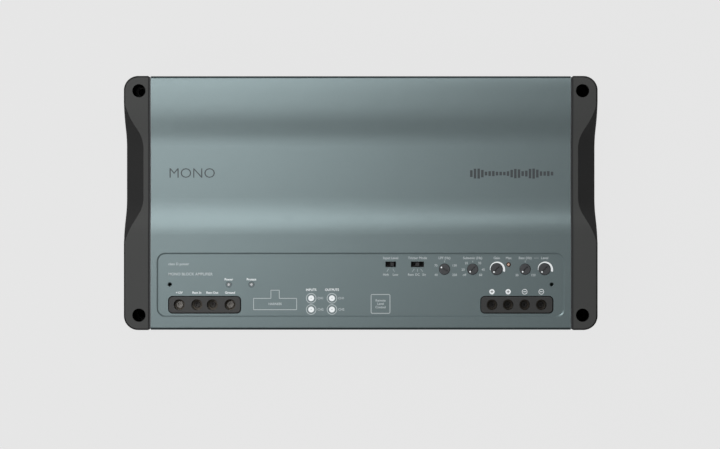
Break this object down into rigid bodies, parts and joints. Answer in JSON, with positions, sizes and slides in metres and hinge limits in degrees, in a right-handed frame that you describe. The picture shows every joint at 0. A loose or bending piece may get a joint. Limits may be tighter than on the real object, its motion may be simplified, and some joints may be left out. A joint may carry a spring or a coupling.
{
  "type": "car audio amplifier",
  "caption": "Flat vehicle audio amplifier with a wavy heatsink cover, scooped black end caps, recessed control panel, screw terminals and phono jacks.",
  "frame": {"origin": "centre of the footprint, on the surface the amplifier is mounted to", "axes": "+X along the length, from the power terminals to the speaker terminals; -Y is the cable side; +Z points away from the mounting surface"},
  "size_m": [0.3784, 0.203, 0.056],
  "materials": {
    "anodised_cover": "fine satin blue-grey anodising",
    "cast_cap": "matt black powder coat on cast aluminium",
    "gasket": "matt black rubber",
    "black_steel": "satin black paint on steel",
    "black_screw": "black oxide",
    "black_plastic": "moulded black plastic",
    "knob_plastic": "dark grey plastic",
    "lever_plastic": "dark grey plastic",
    "plated_brass": "nickel plated brass",
    "nickel": "nickel plate",
    "dark_steel": "dark zinc",
    "amber_lens": "tinted clear plastic",
    "clear_lens": "clear plastic",
    "jack_insulator": "white plastic",
    "gold": "gold plate",
    "circuit_board": "green solder mask over glass fibre",
    "zinc_screw": "zinc plate",
    "ferrite": "coated ferrite",
    "copper_winding": "enamelled copper wire",
    "capacitor_can": "shrink sleeve over an aluminium can",
    "transistor_epoxy": "epoxy",
    "clamp_steel": "plain steel bar"
  },
  "bodies": {
    "chassis": {"heatsink_body": "anodised_cover", "left_end_cap": "cast_cap", "right_end_cap": "cast_cap", "left_end_gasket": "gasket", "right_end_gasket": "gasket", "base_plate": "black_steel", "connector_panel": "black_steel", "end_cap_screws": "black_screw", "base_plate_screws": "black_screw", "power_terminal_housing": "black_plastic", "speaker_terminal_housing": "black_plastic", "power_terminal_lugs": "plated_brass", "speaker_terminal_lugs": "plated_brass", "peak_led": "amber_lens", "power_light_pipe": "clear_lens", "protect_light_pipe": "clear_lens", "indicator_leds": "clear_lens", "rca_block": "black_plastic", "rca_barrels": "nickel", "rca_insulators": "jack_insulator", "harness_header": "black_plastic", "harness_pins": "gold", "remote_jack": "black_plastic", "remote_jack_contacts": "gold", "main_board": "circuit_board", "control_board": "circuit_board", "board_link_header": "black_plastic", "control_board_spacers": "zinc_screw", "board_standoffs": "zinc_screw", "board_screws": "zinc_screw", "transformer_core": "ferrite", "transformer_windings": "copper_winding", "output_choke_core": "ferrite", "output_choke_windings": "copper_winding", "input_capacitors": "capacitor_can", "rail_capacitors": "capacitor_can", "transistors": "transistor_epoxy", "transistor_clamp": "clamp_steel", "input_level_switch_housing": "black_plastic", "trigger_mode_switch_housing": "black_plastic", "low_pass_pot": "black_plastic", "subsonic_pot": "black_plastic", "gain_pot": "black_plastic", "bass_frequency_pot": "black_plastic", "bass_level_pot": "black_plastic"},
    "low_pass_knob_body": {"low_pass_knob": "knob_plastic"},
    "subsonic_knob_body": {"subsonic_knob": "knob_plastic"},
    "gain_knob_body": {"gain_knob": "knob_plastic"},
    "bass_frequency_knob_body": {"bass_frequency_knob": "knob_plastic"},
    "bass_level_knob_body": {"bass_level_knob": "knob_plastic"},
    "input_level_lever": {"input_level_switch_lever": "lever_plastic"},
    "trigger_mode_lever": {"trigger_mode_switch_lever": "lever_plastic"},
    "12v_screw": {"set_screw_12v": "nickel"},
    "remote_in_screw": {"set_screw_remote_in": "dark_steel"},
    "remote_out_screw": {"set_screw_remote_out": "dark_steel"},
    "ground_screw": {"set_screw_ground": "nickel"},
    "speaker_plus_1_screw": {"set_screw_speaker_plus_1": "dark_steel"},
    "speaker_plus_2_screw": {"set_screw_speaker_plus_2": "dark_steel"},
    "speaker_minus_1_screw": {"set_screw_speaker_minus_1": "dark_steel"},
    "speaker_minus_2_screw": {"set_screw_speaker_minus_2": "dark_steel"}
  },
  "joints": [
    {"name": "low_pass_turn", "type": "hinge", "parent": "chassis", "child": "low_pass_knob_body", "pos_m": [0.0669, -0.0529, 0.05], "axis": [0, 0, -1], "range_deg": [-75, 195]},
    {"name": "subsonic_turn", "type": "hinge", "parent": "chassis", "child": "subsonic_knob_body", "pos_m": [0.0894, -0.0529, 0.05], "axis": [0, 0, -1], "range_deg": [0, 270]},
    {"name": "gain_turn", "type": "hinge", "parent": "chassis", "child": "gain_knob_body", "pos_m": [0.1086, -0.0529, 0.05], "axis": [0, 0, -1], "range_deg": [0, 270]},
    {"name": "bass_frequency_turn", "type": "hinge", "parent": "chassis", "child": "bass_frequency_knob_body", "pos_m": [0.1313, -0.0529, 0.05], "axis": [0, 0, -1], "range_deg": [0, 270]},
    {"name": "bass_level_turn", "type": "hinge", "parent": "chassis", "child": "bass_level_knob_body", "pos_m": [0.1469, -0.0529, 0.05], "axis": [0, 0, -1], "range_deg": [0, 270]},
    {"name": "input_level_slide", "type": "slide", "parent": "chassis", "child": "input_level_lever", "axis": [1, 0, 0], "range_m": [-0.0025, 0]},
    {"name": "trigger_mode_slide", "type": "slide", "parent": "chassis", "child": "trigger_mode_lever", "axis": [1, 0, 0], "range_m": [-0.0025, 0.0025]},
    {"name": "12v_clamp", "type": "slide", "parent": "chassis", "child": "12v_screw", "axis": [0, 0, -1], "range_m": [0, 0.005]},
    {"name": "remote_in_clamp", "type": "slide", "parent": "chassis", "child": "remote_in_screw", "axis": [0, 0, -1], "range_m": [0, 0.005]},
    {"name": "remote_out_clamp", "type": "slide", "parent": "chassis", "child": "remote_out_screw", "axis": [0, 0, -1], "range_m": [0, 0.005]},
    {"name": "ground_clamp", "type": "slide", "parent": "chassis", "child": "ground_screw", "axis": [0, 0, -1], "range_m": [0, 0.005]},
    {"name": "speaker_plus_1_clamp", "type": "slide", "parent": "chassis", "child": "speaker_plus_1_screw", "axis": [0, 0, -1], "range_m": [0, 0.005]},
    {"name": "speaker_plus_2_clamp", "type": "slide", "parent": "chassis", "child": "speaker_plus_2_screw", "axis": [0, 0, -1], "range_m": [0, 0.005]},
    {"name": "speaker_minus_1_clamp", "type": "slide", "parent": "chassis", "child": "speaker_minus_1_screw", "axis": [0, 0, -1], "range_m": [0, 0.005]},
    {"name": "speaker_minus_2_clamp", "type": "slide", "parent": "chassis", "child": "speaker_minus_2_screw", "axis": [0, 0, -1], "range_m": [0, 0.005]}
  ]
}
